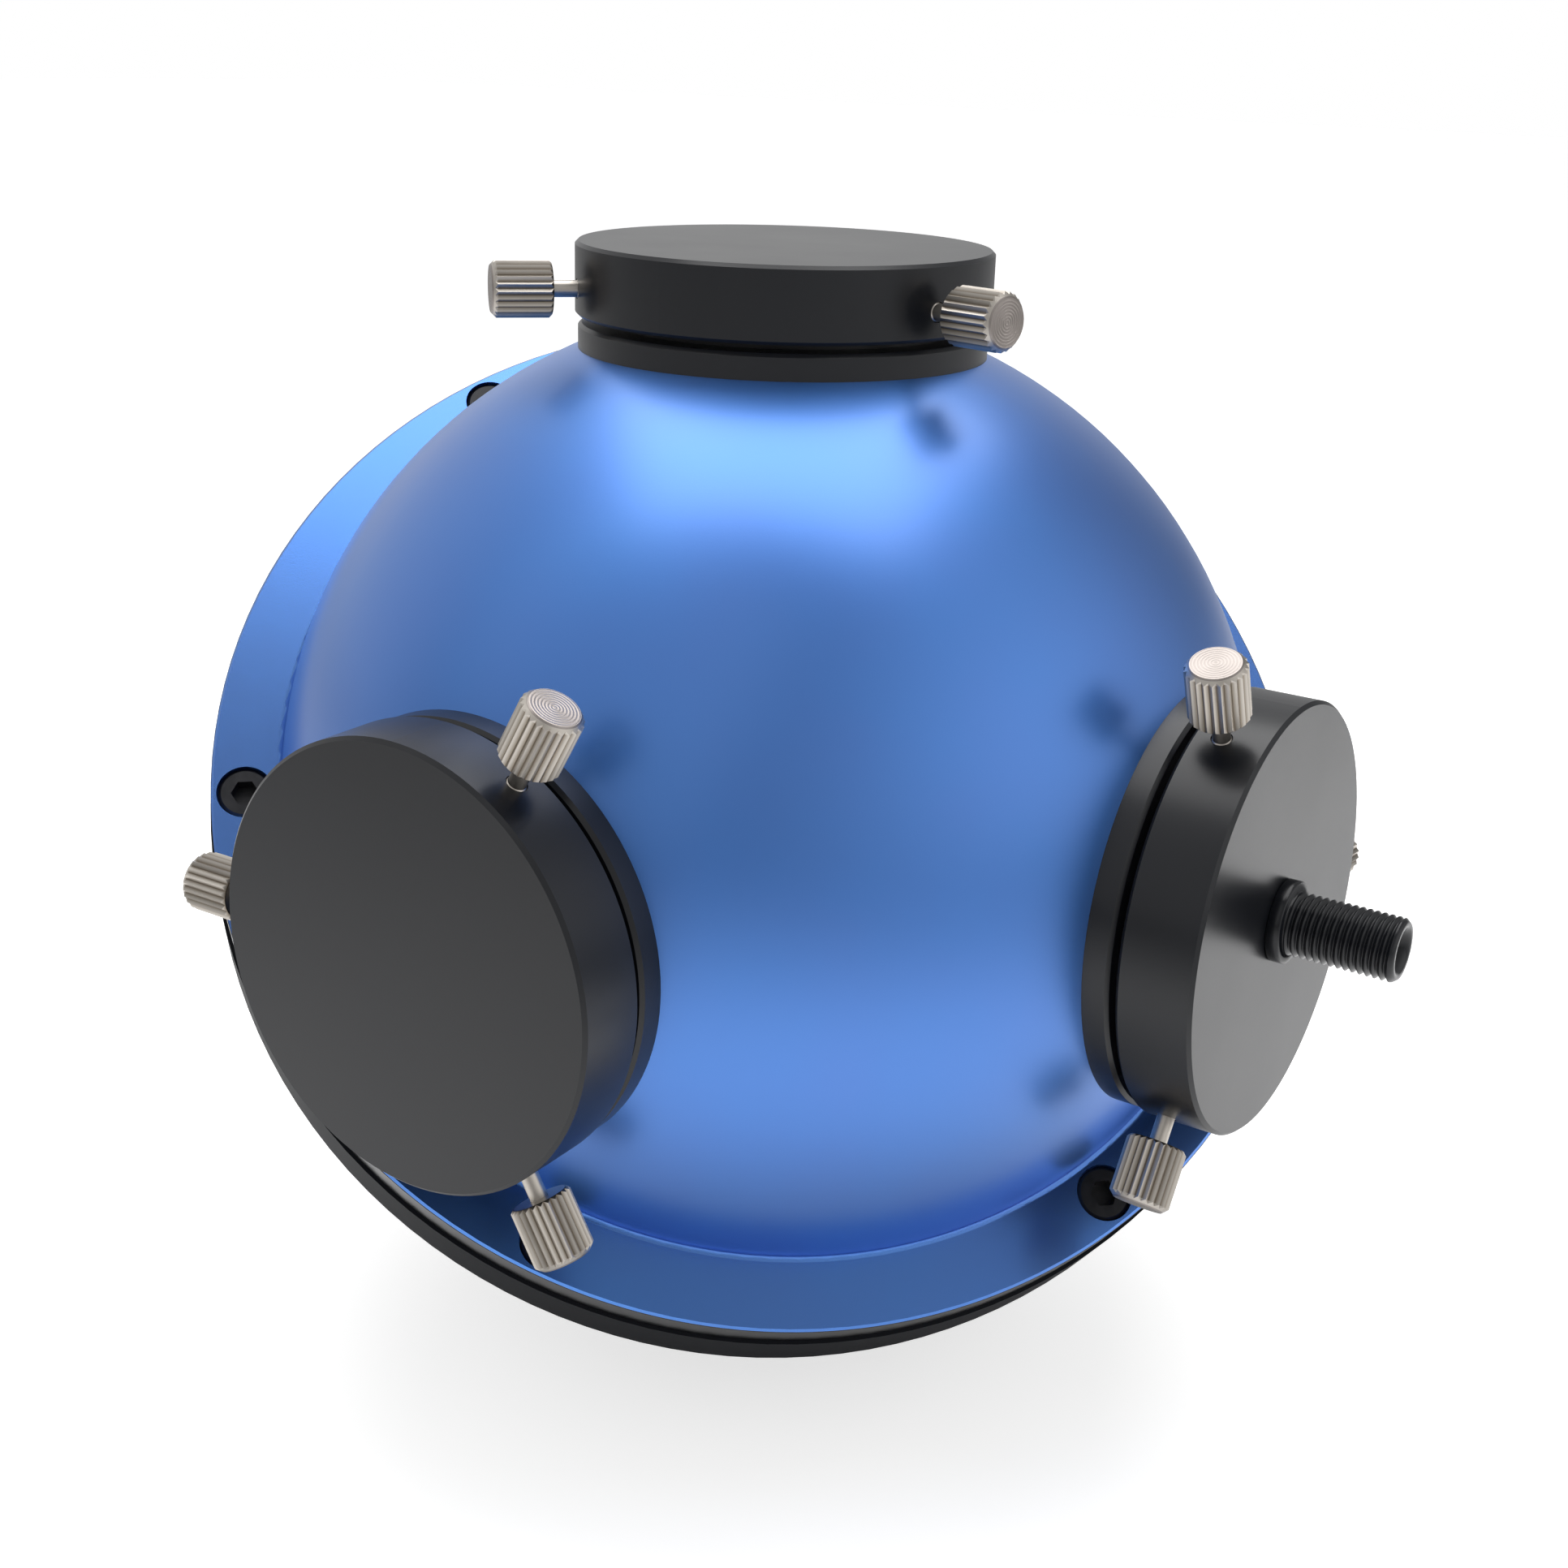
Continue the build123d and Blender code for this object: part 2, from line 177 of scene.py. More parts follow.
class StudioSettings(bpy.types.PropertyGroup):
    """Camera, lamps and floor."""

    lens: FloatProperty(
        name="Lens", description="Focal length on a 36 mm sensor", subtype="DISTANCE_CAMERA", default=46.89,
    )
    floor_colour: FloatVectorProperty(
        name="Floor", description="Colour of the floor",
        subtype="COLOR", size=4, min=0, max=1, default=(0.75, 0.75, 0.75, 1),
    )
    overhead_power: FloatProperty(
        name="Overhead Power", description="Power of the soft lamp above", unit="POWER", default=3.9,
    )
    sweep_power: FloatProperty(
        name="Sweep Power", description="Power of the lamp that lights the floor behind on the right",
        unit="POWER", default=0.2,
    )
    fill_power: FloatProperty(
        name="Fill Power", description="Power of the broad weak lamp in front", unit="POWER", default=1.7,
    )


# Places of a Mix node's two inputs and its result, for vectors and for colours
MIX_SOCKETS = {"VECTOR": (4, 5, 1), "RGBA": (6, 7, 2)}


class NodeTree:
    """Node tree of a material or a world, with short calls that add nodes.

    A value given to a call is a number, a colour, a vector or another node's output.
    """

    def __init__(self, tree):
        self.nodes = tree.nodes
        self.links = tree.links

    def give(self, socket, value):
        """Sets a socket to a value, or links another node's output to it."""
        if isinstance(value, bpy.types.NodeSocket):
            self.links.new(value, socket)
        else:
            socket.default_value = value

    def math(self, operation, first, second=None):
        node = self.nodes.new("ShaderNodeMath")
        node.operation = operation
        self.give(node.inputs[0], first)
        if second is not None:
            self.give(node.inputs[1], second)
        return node.outputs[0]

    def square(self, value):
        return self.math("MULTIPLY", value, value)

    def vector_math(self, operation, first, second=None, output="Value"):
        node = self.nodes.new("ShaderNodeVectorMath")
        node.operation = operation
        self.give(node.inputs[0], first)
        if second is not None:
            self.give(node.inputs[1], second)
        return node.outputs[output]

    def span(self, value, low, high, start=0.0, end=1.0):
        """Number that goes from low to high while the value goes from start to end."""
        node = self.nodes.new("ShaderNodeMapRange")
        for socket, number in (("Value", value), ("From Min", start), ("From Max", end),
                               ("To Min", low), ("To Max", high)):
            self.give(node.inputs[socket], number)
        return node.outputs["Result"]

    def mix(self, kind, factor, low, high):
        """Vector or colour that goes from low to high as the factor goes from nought to one."""
        first, second, result = MIX_SOCKETS[kind]
        node = self.nodes.new("ShaderNodeMix")
        node.data_type = kind
        self.give(node.inputs["Factor"], factor)
        self.give(node.inputs[first], low)
        self.give(node.inputs[second], high)
        return node.outputs[result]


class Shader(NodeTree):
    """A material with its Principled shader."""

    def __init__(self, name):
        self.material = bpy.data.materials.new(name)
        self.material.use_nodes = True
        super().__init__(self.material.node_tree)
        self.surface = self.nodes["Principled BSDF"]

    def set(self, **values):
        """Sets the shader's own sockets, by their names in lower case with underscores."""
        for name, value in values.items():
            self.surface.inputs[name.replace("_", " ").title().replace("Ior", "IOR")].default_value = value

    def feed(self, socket, output):
        self.links.new(output, self.surface.inputs[socket])

    def place(self):
        """Where a point of the part is, measured from the sphere's centre."""
        coordinates = self.nodes.new("ShaderNodeTexCoord")
        return self.vector_math("SUBTRACT", coordinates.outputs["Object"], CENTRE, "Vector")

    def noise(self, scale, detail):
        node = self.nodes.new("ShaderNodeTexNoise")
        node.inputs["Scale"].default_value = scale
        node.inputs["Detail"].default_value = detail
        self.give(node.inputs["Vector"], self.place())
        return node.outputs["Fac"]

    def cloud(self, scale):
        """Soft patches that vary a finish."""
        return self.noise(scale, CLOUD_DETAIL)

    def grain(self, scale):
        """Fine grain of a surface."""
        return self.noise(scale, GRAIN_DETAIL)

    def bump(self, height, strength, depth, normal=None):
        node = self.nodes.new("ShaderNodeBump")
        node.inputs["Strength"].default_value = strength
        node.inputs["Distance"].default_value = depth
        self.give(node.inputs["Height"], height)
        if normal is not None:
            self.give(node.inputs["Normal"], normal)
        self.feed("Normal", node.outputs["Normal"])

    def round_normal(self, place, distance):
        """True normal of the dome, which the mesh only nears at its pole, and the mesh's own elsewhere."""
        turn = self.nodes.new("ShaderNodeVectorTransform")
        turn.vector_type = "NORMAL"
        turn.convert_from = "OBJECT"
        turn.convert_to = "WORLD"
        self.give(turn.inputs[0], place)
        geometry = self.nodes.new("ShaderNodeNewGeometry")
        above = self.math("GREATER_THAN", distance, OUTER_RADIUS - DOME_BAND)
        below = self.math("LESS_THAN", distance, OUTER_RADIUS + DOME_BAND)
        on_dome = self.math("MULTIPLY", above, below)
        normal = self.mix("VECTOR", on_dome, geometry.outputs["Normal"], turn.outputs[0])
        return self.vector_math("NORMALIZE", normal, output="Vector")


# Scales of the noise behind the finishes
GRAIN = 5200.0
WHITE_GRAIN = 2600.0
GRAIN_DETAIL = 2.0
CLOUD = 45.0
BLACK_CLOUD = 90.0
WHITE_CLOUD = 120.0
NICKEL_CLOUD = 400.0
CLOUD_DETAIL = 3.0

# Strength and depth of each surface's grain, and the share of the nickel's relief that is grain
BLUE_RELIEF = (0.35, 0.012 * MM)
BLACK_RELIEF = (0.3, 0.01 * MM)
WHITE_RELIEF = (0.2, 0.01 * MM)
NICKEL_GRAIN = 0.11

# Shares of red, green and blue by which a colour is tinted
VIOLET_TINT = (1.2, 0.9, 0.94)
CYAN_TINT = (0.88, 1.08, 1.06)
GROOVE_TINT = (0.42, 0.38, 0.33)
# Painted shade: the thumbscrews' ends are painted darker than their sides, to hold back the lamp's
# highlight on them
END_SHADE_TINT = (0.6, 0.58, 0.6)
DEEP_BLACK_TINT = (0.85, 0.85, 0.85)
PALE_BLACK_TINT = (1.15, 1.15, 1.15)
DULL_NICKEL_TINT = (0.88, 0.88, 0.88)
DULL_WHITE_TINT = (0.97, 0.97, 0.97)

# Metal, gloss and roughness
ANODISED_METALLIC = 0.88
COAT_WEIGHT = 0.6
COAT_ROUGHNESS = 0.3
COAT_IOR = 1.7
WHITE_COAT_STEP = 0.5
ANODISED_SPREAD = 0.03
NICKEL_SPREAD = (-0.05, 0.08)
WHITE_ROUGHNESS = (0.75, 0.9)
PORT_GLOSS = 0.46
REAR_ROUGHNESS = 0.55
REAR_GLOSS = 0.12
ADAPTER_ROUGHNESS = 0.25
ADAPTER_GLOSS = 0.4

BARE_STEEL = {
    "metallic": 1.0, "patches": 500.0, "roughness": (0.25, 0.4),
    "tones": ((0.46, 0.46, 0.47, 1), (0.60, 0.60, 0.61, 1)),
}
BLACKENED_STEEL = {
    "metallic": 0.6, "patches": 900.0, "roughness": (0.28, 0.42),
    "tones": ((0.012, 0.012, 0.014, 1), (0.035, 0.035, 0.038, 1)),
}


def tinted(colour, tint):
    """Colour with each of its channels multiplied, and full alpha."""
    return tuple(min(1, channel * share) for channel, share in zip(colour, tint)) + (1,)


def blue_finish(look):
    """Blasted blue dome, turned blue flange whose outer rim is painted near-black as painted shade, and the
    white coat inside.
    """
    shader = Shader("blue_anodised")
    place = shader.place()
    distance = shader.vector_math("LENGTH", place)
    height = shader.vector_math("DOT_PRODUCT", place, FLANGE_NORMAL)
    inside = shader.math("LESS_THAN", distance, INNER_RADIUS + WHITE_MARGIN)
    beside_dome = shader.math("GREATER_THAN", distance, OUTER_RADIUS + DOME_MARGIN)
    low = shader.math("LESS_THAN", height, FRONT_FLANGE + FLANGE_MARGIN)
    on_flange = shader.math("MULTIPLY", beside_dome, low)
    reach = shader.math("SQRT", shader.math("SUBTRACT", shader.square(distance), shader.square(height)))
    on_rim = shader.math("GREATER_THAN", reach, FLANGE_RADIUS - RIM_MARGIN)

    cloud = shader.cloud(CLOUD)
    blue = shader.mix("RGBA", cloud, tinted(look.blue, VIOLET_TINT), tinted(look.blue, CYAN_TINT))
    # Painted shade: the flange's outer rim takes the near-black rim colour in place of the blue
    anodised = shader.mix("RGBA", on_rim, blue, look.rim)
    shader.feed("Base Color", shader.mix("RGBA", inside, anodised, look.white))
    shader.feed("Metallic", shader.span(inside, ANODISED_METALLIC, 0))

    dome = shader.span(cloud, look.blue_roughness - ANODISED_SPREAD, look.blue_roughness + ANODISED_SPREAD)
    flange_step = shader.math("MULTIPLY", on_flange, look.flange_roughness - look.blue_roughness)
    white_step = shader.math("MULTIPLY", inside, WHITE_COAT_STEP)
    outside = shader.math("ADD", dome, flange_step)
    shader.feed("Roughness", shader.math("ADD", outside, white_step))
    shader.set(coat_weight=COAT_WEIGHT, coat_roughness=COAT_ROUGHNESS, coat_ior=COAT_IOR)

    normal = shader.round_normal(place, distance)
    shader.bump(shader.grain(GRAIN), *BLUE_RELIEF, normal)
    shader.feed("Coat Normal", normal)
    return shader.material


def black_finish(look, name, roughness, gloss, white_inside=False):
    """Black anodised metal with a fine grain, and on request a white coat inside the sphere."""
    shader = Shader(name)
    cloud = shader.cloud(BLACK_CLOUD)
    colour = shader.mix(
        "RGBA", cloud, tinted(look.black, DEEP_BLACK_TINT), tinted(look.black, PALE_BLACK_TINT))
    normal = None
    if white_inside:
        place = shader.place()
        distance = shader.vector_math("LENGTH", place)
        normal = shader.round_normal(place, distance)
        inside = shader.math("LESS_THAN", distance, INNER_RADIUS + WHITE_MARGIN)
        colour = shader.mix("RGBA", inside, colour, look.white)
    shader.feed("Base Color", colour)
    shader.feed("Roughness", shader.span(cloud, roughness - ANODISED_SPREAD, roughness + ANODISED_SPREAD))
    shader.set(specular_ior_level=gloss)
    shader.bump(shader.grain(GRAIN), *BLACK_RELIEF, normal)
    return shader.material


def nickel_finish(look, name, height, lean):
    """Plated steel, a little warm, darker in the grooves of its knurl, with rings left by turning its end
    and the end painted darker as painted shade.

    The height is the vector from the sphere's centre to the thumbscrew's place on the port's axis,
    and the lean is the direction of the thumbscrew's own axis.
    """
    shader = Shader(f"nickel_{name}")
    from_axis = shader.vector_math("SUBTRACT", shader.place(), height, "Vector")
    reach = shader.vector_math("LENGTH", shader.vector_math("CROSS_PRODUCT", from_axis, lean, "Vector"))
    along = shader.math("ABSOLUTE", shader.vector_math("DOT_PRODUCT", from_axis, lean))
    before_end = shader.math("LESS_THAN", along, HEAD_END - END_CHAMFER)
    on_side = shader.math("MULTIPLY", before_end, shader.math("GREATER_THAN", reach, KNURL_INSIDE))
    off_ridge = shader.math("SUBTRACT", 1, shader.span(reach, 0, 1, KNURL_FOOT, KNURL_TOP))
    in_groove = shader.math("MULTIPLY", on_side, off_ridge)
    on_end = shader.math("GREATER_THAN", along, HEAD_END - END_CHAMFER / 4)

    cloud = shader.cloud(NICKEL_CLOUD)
    bright = shader.mix("RGBA", cloud, tinted(look.nickel, DULL_NICKEL_TINT), look.nickel)
    sides = shader.mix("RGBA", in_groove, bright, tinted(look.nickel, GROOVE_TINT))
    # The end takes the darker painted shade colour
    shader.feed("Base Color", shader.mix("RGBA", on_end, sides, tinted(look.nickel, END_SHADE_TINT)))
    shader.set(metallic=1.0)

    rings = shader.math("SINE", shader.math("MULTIPLY", reach, math.tau / RING_PITCH))
    marks = shader.math("MULTIPLY", rings, on_end)
    dull_marks = shader.math("MULTIPLY", marks, RING_ROUGHNESS)
    roughness = shader.span(cloud, *(look.nickel_roughness + step for step in NICKEL_SPREAD))
    shader.feed("Roughness", shader.math("ADD", roughness, dull_marks))
    grain = shader.math("MULTIPLY", shader.grain(GRAIN), NICKEL_GRAIN)
    shader.bump(shader.math("ADD", grain, marks), 1.0, RING_RELIEF)
    return shader.material


def steel_finish(name, metallic, patches, roughness, tones):
    """Steel, bare or blackened, whose tone and gloss vary in soft patches."""
    shader = Shader(name)
    cloud = shader.cloud(patches)
    shader.feed("Base Color", shader.mix("RGBA", cloud, *tones))
    shader.set(metallic=metallic)
    shader.feed("Roughness", shader.span(cloud, *roughness))
    return shader.material


def white_finish(look, name):
    """Matte white that scatters light."""
    shader = Shader(name)
    cloud = shader.cloud(WHITE_CLOUD)
    shader.feed("Base Color", shader.mix("RGBA", cloud, tinted(look.white, DULL_WHITE_TINT), look.white))
    shader.feed("Roughness", shader.span(cloud, *WHITE_ROUGHNESS))
    shader.bump(shader.grain(WHITE_GRAIN), *WHITE_RELIEF)
    return shader.material


def dress(names, material):
    """Gives carried-over parts their finish."""
    for name in names:
        part = frame["nodes"][name]
        part.data.materials.clear()
        part.data.materials.append(material)


# Threaded adapter
def adapter_rings(pitch):
    """Rings of the adapter's section as (x, radius, share of the thread's depth), closed round its bore."""
    low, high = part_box("fibre_adapter")
    face = right_high.x
    thread = MOUNTS["fibre_thread"]["dims"]["r_mm"] * MM
    length = MOUNTS["fibre_thread"]["dims"]["length_mm"] * MM
    bore = MOUNTS["ferrule_bore"]["dims"]["r_mm"] * MM
    foot = (high.y - low.y) / 2
    foot_top = face + FOOT_HEIGHT
    end = thread - (high.x - foot_top - length)
    rings = [
        (low.x, bore + SHANK_CHAMFER, 0),
        (low.x, SHANK_RADIUS - SHANK_CHAMFER, 0),
        (low.x + SHANK_CHAMFER, SHANK_RADIUS, 0),
        (face, SHANK_RADIUS, 0),
        (face, foot - FOOT_LOWER_CHAMFER, 0),
        (face + FOOT_LOWER_CHAMFER, foot, 0),
        (foot_top - FOOT_UPPER_CHAMFER, foot, 0),
        (foot_top, foot - FOOT_UPPER_CHAMFER, 0),
        (foot_top, thread, 0),
    ]
    steps = int(length / pitch * RINGS_PER_TURN)
    for i in range(steps + 1):
        share = min(1, i / RINGS_RISING, (steps - i) / RINGS_FALLING + END_SHARE)
        rings.append((foot_top + length * i / steps, thread, share))
    return rings + [
        (high.x, end, 0),
        (high.x, end - LIP_WIDTH, 0),
        (high.x - MOUTH_DEPTH, bore + MOUTH_STEP, 0),
        (high.x - BORE_DEPTH, bore, 0),
        (low.x + SHANK_CHAMFER, bore, 0),
    ]


def threaded_mesh(name, rings, pitch, depth):
    """Closed mesh turned about X from rings, with a thread cut into those that have a share of it."""
    work = bmesh.new()
    grid = []
    for x, radius, share in rings:
        row = []
        for k in range(RING_POINTS):
            turn = k / RING_POINTS
            phase = (x / pitch + turn) % 1
            groove = depth * (1 - abs(2 * phase - 1))
            reach = radius - share * groove
            angle = math.tau * turn
            row.append(work.verts.new((x, reach * math.cos(angle), reach * math.sin(angle))))
        grid.append(row)
    for row, after in zip(grid, grid[1:] + grid[:1]):
        for k in range(RING_POINTS):
            following = (k + 1) % RING_POINTS
            work.faces.new((row[k], row[following], after[following], after[k]))
    bmesh.ops.recalc_face_normals(work, faces=work.faces)
    for face in work.faces:
        face.smooth = True
    mesh = bpy.data.meshes.new(name)
    work.to_mesh(mesh)
    work.free()
    return mesh


class INTEGRATING_SPHERE_OT_front_half(bpy.types.Operator):
    """Gives the front half its blue finish and white inside"""

    bl_idname = "integrating_sphere.front_half"
    bl_label = "Front Half"

    def execute(self, context):
        dress(["front_hemisphere"], blue_finish(context.scene.sphere_finishes))
        return {"FINISHED"}


class INTEGRATING_SPHERE_OT_rear_half(bpy.types.Operator):
    """Gives the rear half and the post mount their black finish, and the rear half its white inside"""

    bl_idname = "integrating_sphere.rear_half"
    bl_label = "Rear Half"

    def execute(self, context):
        look = context.scene.sphere_finishes
        finish = black_finish(look, "black_rear", REAR_ROUGHNESS, REAR_GLOSS, white_inside=True)
        dress(["rear_hemisphere", "post_mount"], finish)
        return {"FINISHED"}


class INTEGRATING_SPHERE_OT_ports(bpy.types.Operator):
    """Gives the collars and caps their black finish"""

    bl_idname = "integrating_sphere.ports"
    bl_label = "Collars and Caps"

    def execute(self, context):
        look = context.scene.sphere_finishes
        dress([f"{port}_{piece}" for port in PORTS for piece in ("collar", "cap")],
              black_finish(look, "black_anodised", look.black_roughness, PORT_GLOSS))
        return {"FINISHED"}


class INTEGRATING_SPHERE_OT_screws(bpy.types.Operator):
    """Gives the flange and collar screws their black finish, and the pins, stem and nut bare steel"""

    bl_idname = "integrating_sphere.screws"
    bl_label = "Screws and Pins"

    def execute(self, context):
        screws = ["flange_screws"] + [f"{port}_collar_screws" for port in PORTS]
        dress(screws, steel_finish("black_screws", **BLACKENED_STEEL))
        dress(["dowel_pins", "baffle_stem", "adapter_nut"], steel_finish("steel", **BARE_STEEL))
        return {"FINISHED"}


class INTEGRATING_SPHERE_OT_thumbscrews(bpy.types.Operator):
    """Gives the knurled thumbscrews their nickel finish"""

    bl_idname = "integrating_sphere.thumbscrews"
    bl_label = "Thumbscrews"

    def execute(self, context):
        look = context.scene.sphere_finishes
        leans = {joint["child"]: joint["axis"] for joint in frame["record"]["behaviour"]["joints"]}
        for port, axis in PORT_AXES.items():
            for number in range(1, SCREWS_PER_CAP + 1):
                name = f"{port}_thumbscrew_{number}"
                low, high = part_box(name)
                middle = (low + high) / 2 - CENTRE
                dress([name], nickel_finish(look, name, axis * middle.dot(axis), leans[name]))
        return {"FINISHED"}


class INTEGRATING_SPHERE_OT_white_parts(bpy.types.Operator):
    """Gives the port plugs and the baffle their matte white"""

    bl_idname = "integrating_sphere.white_parts"
    bl_label = "Plugs and Baffle"

    def execute(self, context):
        look = context.scene.sphere_finishes
        dress([f"{port}_plug" for port in PORTS], white_finish(look, "white_plastic"))
        dress(["baffle_plate"], white_finish(look, "white_coating"))
        return {"FINISHED"}


class INTEGRATING_SPHERE_OT_fibre_adapter(bpy.types.Operator):
    """Makes the fibre adapter with its thread"""

    bl_idname = "integrating_sphere.fibre_adapter"
    bl_label = "Fibre Adapter"

    def execute(self, context):
        look = context.scene.sphere_finishes
        sizes = context.scene.adapter_sizes
        rings = adapter_rings(sizes.thread_pitch)
        mesh = threaded_mesh("threaded_adapter", rings, sizes.thread_pitch, sizes.thread_depth)
        mesh.transform(Matrix.Translation((0, 0, CENTRE.z)))
        mesh.materials.append(black_finish(look, "black_adapter", ADAPTER_ROUGHNESS, ADAPTER_GLOSS))
        adapter = bpy.data.objects.new("threaded_adapter", mesh)
        context.scene.collection.objects.link(adapter)
        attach(adapter, "right_cap_set")
        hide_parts("fibre_adapter")
        return {"FINISHED"}


# Camera, measured from the sphere's centre
CAMERA_PLACE = Vector((117.6, -178.5, 79.4)) * MM
CAMERA_RIGHT = Vector((0.8322, 0.5538, 0.0287))
CAMERA_BACK = Vector((0.5182, -0.7950, 0.3154))
CAMERA_SHIFT = (0.00155, -0.04327)
CAMERA_SENSOR = 36.0
CAMERA_NEAR = 0.01

# Floor: its glow to the camera and in mirrors, where the painted shade round the object gives way to the
# mirrored glow, and where that painted pool of light round the object ends
FLOOR_SIZE = 8.0
FLOOR_ROUGHNESS = 0.8
FLOOR_GLOW = 0.65
FLOOR_GLOW_MIRRORED = 0.55
SHADE_START = 0.064
SHADE_END = 0.1
PAINTED_POOL_START = 0.13
PAINTED_POOL_END = 0.26

# Room that the metal mirrors: dim in front, a pale left side, and on the right the axis, focus and
# strength of each of two soft patches
ROOM_COLOUR = (0.8, 0.8, 0.8, 1)
ROOM_FRONT = 0.16
ROOM_LEFT = 0.88
ROOM_LEFT_AXIS = (-0.9, 0.35, 0.25)
ROOM_LEFT_START = 0.25
ROOM_LEFT_END = 0.8
ROOM_RIGHT = (((0.93, 0.23, 0.27), 3.5, 1.3), ((0.66, -0.68, 0.32), 6.0, 0.35))

# Lamps
OVERHEAD_PLACE = CENTRE + Vector((-0.07, 0.145, 0.62))
OVERHEAD_SIZE = 0.66
FILL_PLACE = CENTRE + Vector((-0.15, -0.7, 0.55))
FILL_SIZE = 1.1
SWEEP_PLACE = Vector((0.22, 0.22, 0.3))
SWEEP_TARGET = Vector((0.22, 0.22, 0))
SWEEP_SIZE = 0.2
SWEEP_SPREAD = math.radians(60)

WHITE = (1, 1, 1, 1)


def studio_world():
    """White behind the object, and in reflections a room that is dim in front and pale on both sides."""
    world = bpy.data.worlds.new("studio_world")
    world.use_nodes = True
    tree = NodeTree(world.node_tree)
    tree.nodes.clear()
    direction = tree.nodes.new("ShaderNodeTexCoord").outputs["Generated"]
    to_left = tree.vector_math("DOT_PRODUCT", direction, ROOM_LEFT_AXIS)
    strength = tree.span(to_left, ROOM_FRONT, ROOM_LEFT, ROOM_LEFT_START, ROOM_LEFT_END)
    for axis, focus, power in ROOM_RIGHT:
        facing = tree.math("MAXIMUM", tree.vector_math("DOT_PRODUCT", direction, axis), 0)
        patch = tree.math("MULTIPLY", tree.math("POWER", facing, focus), power)
        strength = tree.math("ADD", strength, patch)

    room, white = (tree.nodes.new("ShaderNodeBackground") for _ in range(2))
    room.inputs["Color"].default_value = ROOM_COLOUR
    tree.give(room.inputs["Strength"], strength)
    white.inputs["Color"].default_value = WHITE
    paths = tree.nodes.new("ShaderNodeLightPath")
    mix = tree.nodes.new("ShaderNodeMixShader")
    tree.give(mix.inputs["Fac"], paths.outputs["Is Camera Ray"])
    tree.give(mix.inputs[1], room.outputs[0])
    tree.give(mix.inputs[2], white.outputs[0])
    output = tree.nodes.new("ShaderNodeOutputWorld")
    tree.give(output.inputs["Surface"], mix.outputs[0])
    return world


def floor_finish(colour):
    """Pale floor that looks white to the camera and still shows a soft shadow."""
    shader = Shader("floor")
    shader.set(base_color=colour, roughness=FLOOR_ROUGHNESS, emission_color=WHITE)
    paths = shader.nodes.new("ShaderNodeLightPath")
    seen = shader.math("MULTIPLY", paths.outputs["Is Camera Ray"], FLOOR_GLOW)
    distance = shader.vector_math("LENGTH", shader.place())
    # In mirrors the floor glows in a painted pool of light round the object, with painted shade close under
    # it
    past_shade = shader.span(distance, 0, FLOOR_GLOW_MIRRORED, SHADE_START, SHADE_END)
    painted_pool = shader.span(distance, 1, 0, PAINTED_POOL_START, PAINTED_POOL_END)
    mirrored_pool = shader.math("MULTIPLY", past_shade, painted_pool)
    mirrored = shader.math("MULTIPLY", paths.outputs["Is Glossy Ray"], mirrored_pool)
    shader.feed("Emission Strength", shader.math("ADD", seen, mirrored))
    return shader.material


def make_floor(settings):
    """Large square floor under the object."""
    half = FLOOR_SIZE / 2
    corners = [(-half, -half, 0), (half, -half, 0), (half, half, 0), (-half, half, 0)]
    mesh = bpy.data.meshes.new("floor")
    mesh.from_pydata(corners, [], [(0, 1, 2, 3)])
    mesh.materials.append(floor_finish(settings.floor_colour))
    floor = bpy.data.objects.new("floor", mesh)
    bpy.context.scene.collection.objects.link(floor)


def soft_lamp(name, place, target, size, power):
    """Square area lamp that faces a point."""
    data = bpy.data.lights.new(name, "AREA")
    data.size = size
    data.energy = power
    lamp = bpy.data.objects.new(name, data)
    lamp.location = place
    lamp.rotation_euler = (target - place).to_track_quat("-Z", "Y").to_euler()
    bpy.context.scene.collection.objects.link(lamp)
    return lamp


def make_camera(lens):
    """Camera at the photograph's place and angle."""
    data = bpy.data.cameras.new("camera")
    data.sensor_width = CAMERA_SENSOR
    data.lens = lens
    data.shift_x, data.shift_y = CAMERA_SHIFT
    data.clip_start = CAMERA_NEAR
    camera = bpy.data.objects.new("camera", data)
    back = CAMERA_BACK.normalized()
    right = (CAMERA_RIGHT - back * CAMERA_RIGHT.dot(back)).normalized()
    turn = Matrix((right, back.cross(right), back)).transposed().to_4x4()
    camera.matrix_world = Matrix.Translation(CENTRE + CAMERA_PLACE) @ turn
    bpy.context.scene.collection.objects.link(camera)
    bpy.context.scene.camera = camera


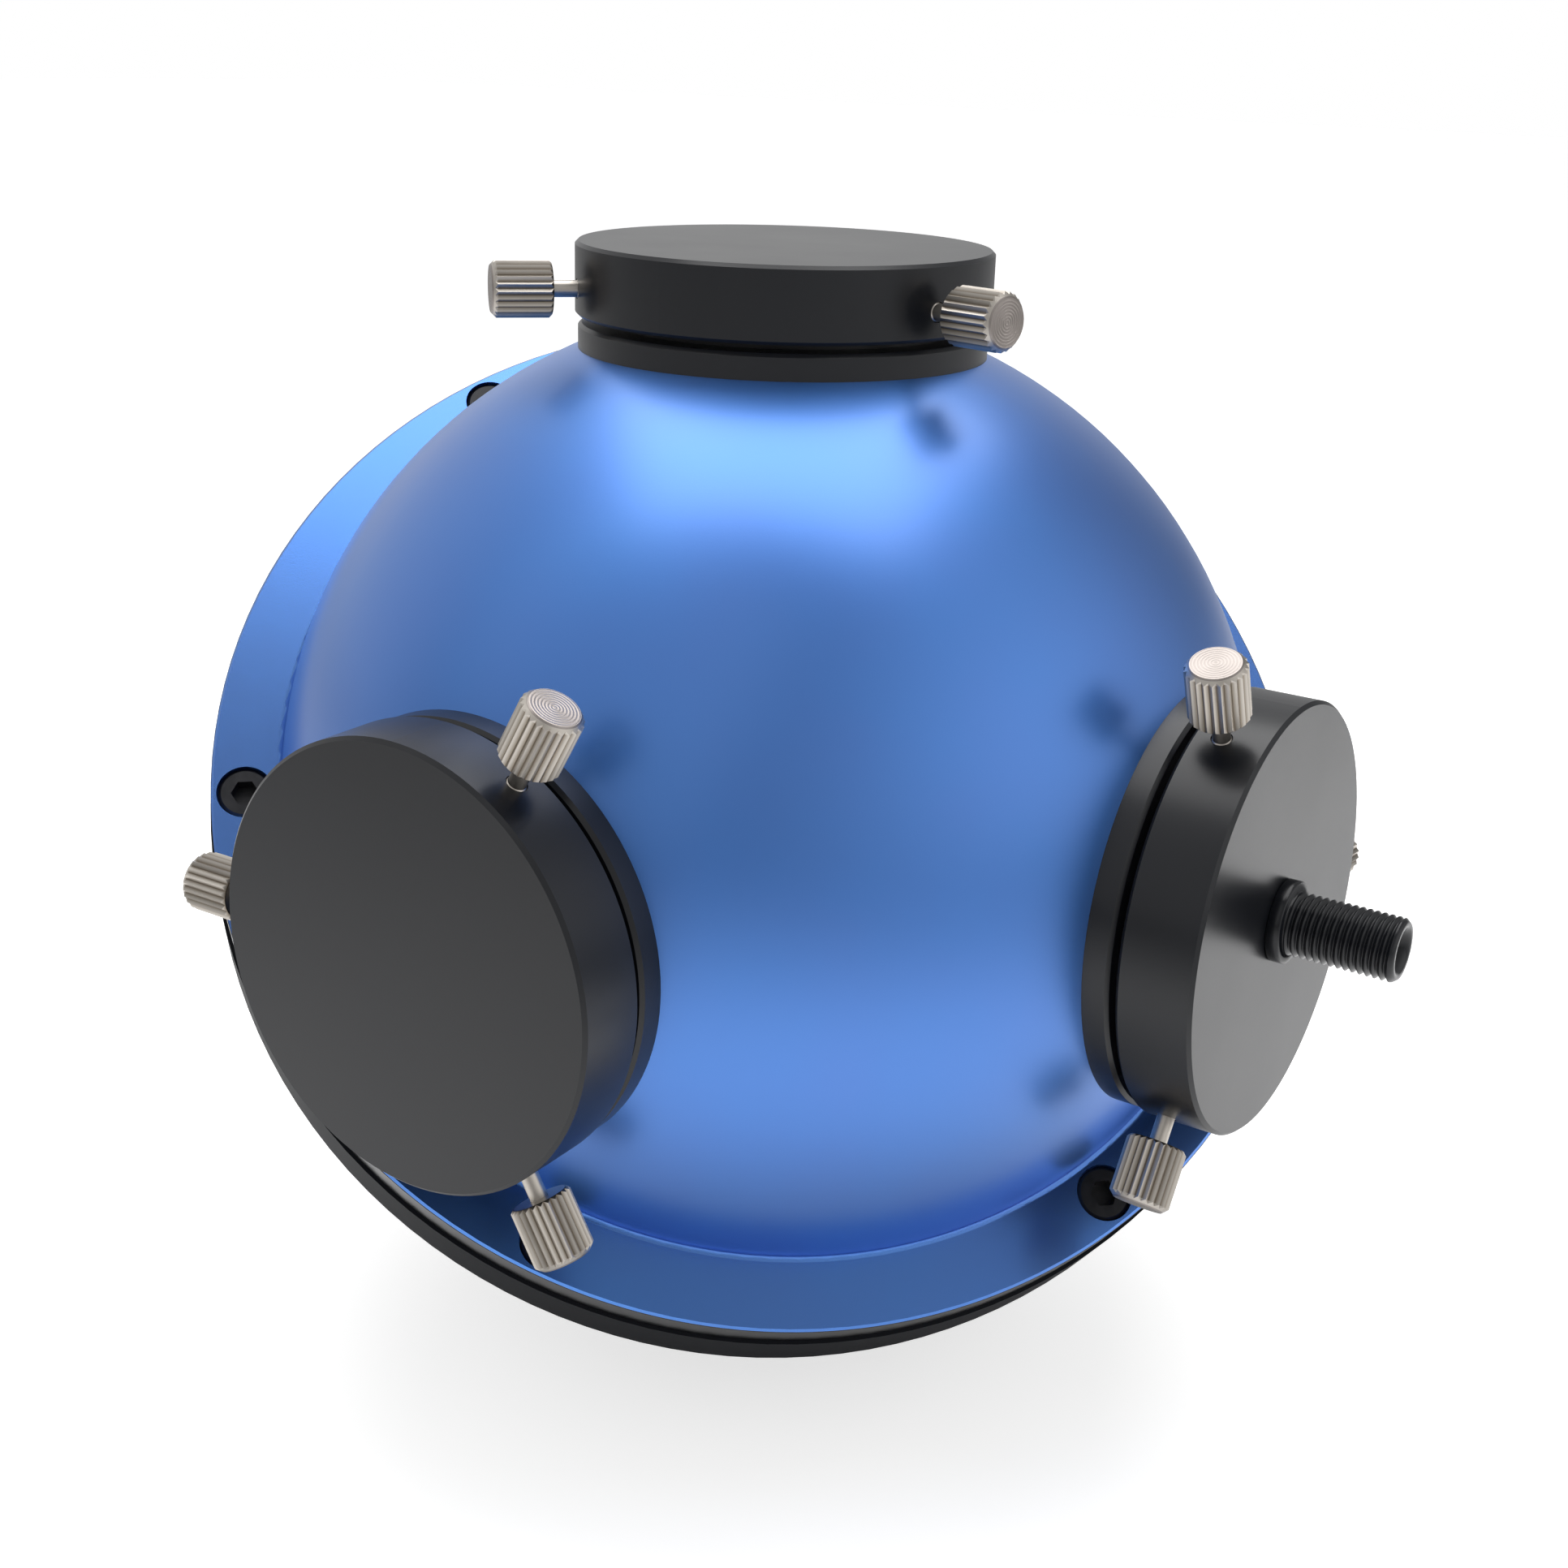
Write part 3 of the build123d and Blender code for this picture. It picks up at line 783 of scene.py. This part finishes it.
class INTEGRATING_SPHERE_OT_studio(bpy.types.Operator):
    """Makes the floor, the lamps, the world and the camera"""

    bl_idname = "integrating_sphere.studio"
    bl_label = "Studio"

    def execute(self, context):
        scene = context.scene
        settings = scene.studio_settings
        scene.view_settings.view_transform = "Standard"
        scene.world = studio_world()
        make_floor(settings)
        soft_lamp("overhead_lamp", OVERHEAD_PLACE, CENTRE, OVERHEAD_SIZE, settings.overhead_power)
        sweep = soft_lamp("sweep_lamp", SWEEP_PLACE, SWEEP_TARGET, SWEEP_SIZE, settings.sweep_power)
        sweep.data.spread = SWEEP_SPREAD
        soft_lamp("fill_lamp", FILL_PLACE, CENTRE, FILL_SIZE, settings.fill_power)
        make_camera(settings.lens)
        return {"FINISHED"}


STEPS = (
    INTEGRATING_SPHERE_OT_front_half,
    INTEGRATING_SPHERE_OT_rear_half,
    INTEGRATING_SPHERE_OT_ports,
    INTEGRATING_SPHERE_OT_screws,
    INTEGRATING_SPHERE_OT_thumbscrews,
    INTEGRATING_SPHERE_OT_white_parts,
    INTEGRATING_SPHERE_OT_fibre_adapter,
    INTEGRATING_SPHERE_OT_studio,
)


class INTEGRATING_SPHERE_PT_panel(bpy.types.Panel):
    """Lists the steps that dress the sphere"""

    bl_idname = "INTEGRATING_SPHERE_PT_panel"
    bl_label = "Integrating Sphere"
    bl_space_type = "VIEW_3D"
    bl_region_type = "UI"
    bl_category = "Integrating Sphere"

    def draw(self, context):
        scene = context.scene
        for step in STEPS:
            self.layout.operator(step.bl_idname)
        for group in (scene.sphere_finishes, scene.adapter_sizes, scene.studio_settings):
            for name in group.bl_rna.properties.keys():
                if name not in ("rna_type", "name"):
                    self.layout.prop(group, name)


CLASSES = (SphereFinishes, AdapterSizes, StudioSettings) + STEPS + (INTEGRATING_SPHERE_PT_panel,)


def register():
    for item in CLASSES:
        bpy.utils.register_class(item)
    bpy.types.Scene.sphere_finishes = PointerProperty(type=SphereFinishes)
    bpy.types.Scene.adapter_sizes = PointerProperty(type=AdapterSizes)
    bpy.types.Scene.studio_settings = PointerProperty(type=StudioSettings)


def unregister():
    del bpy.types.Scene.studio_settings
    del bpy.types.Scene.adapter_sizes
    del bpy.types.Scene.sphere_finishes
    for item in reversed(CLASSES):
        bpy.utils.unregister_class(item)


def main():
    """Dresses the sphere and sets the stage."""
    register()
    bpy.ops.integrating_sphere.front_half()
    bpy.ops.integrating_sphere.rear_half()
    bpy.ops.integrating_sphere.ports()
    bpy.ops.integrating_sphere.screws()
    bpy.ops.integrating_sphere.thumbscrews()
    bpy.ops.integrating_sphere.white_parts()
    bpy.ops.integrating_sphere.fibre_adapter()
    bpy.ops.integrating_sphere.studio()


if __name__ == "__main__":
    main()
